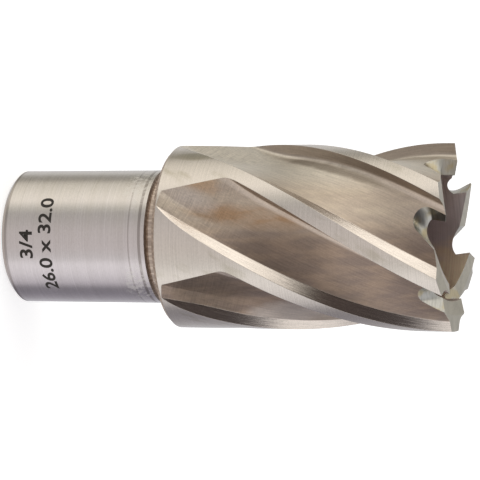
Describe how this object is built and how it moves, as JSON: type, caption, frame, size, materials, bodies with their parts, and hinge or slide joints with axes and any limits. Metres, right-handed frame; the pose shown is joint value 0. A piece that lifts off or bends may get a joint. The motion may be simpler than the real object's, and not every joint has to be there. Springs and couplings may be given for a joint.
{
  "type": "annular cutter",
  "caption": "Hollow annular cutter for a magnetic drill: round shank with clamping flats, helical flutes and a toothed rim that cuts a ring and leaves a slug.",
  "frame": {"origin": "centre of the flat end of the shank, which the cutter stands on", "axes": "+Z along the tool's axis from the shank's end to the teeth; +X through the tip of one tooth, halfway between two others; cutting turns the tool from +X towards +Y"},
  "size_m": [0.026, 0.026, 0.0646],
  "materials": {
    "ground_tool_steel": "bare tool steel, ground: fine lines round the shank and lands, lines along the flutes, bronze-brown tint in the flutes"
  },
  "bodies": {
    "root": {"annular_cutter": "ground_tool_steel"}
  },
  "joints": []
}
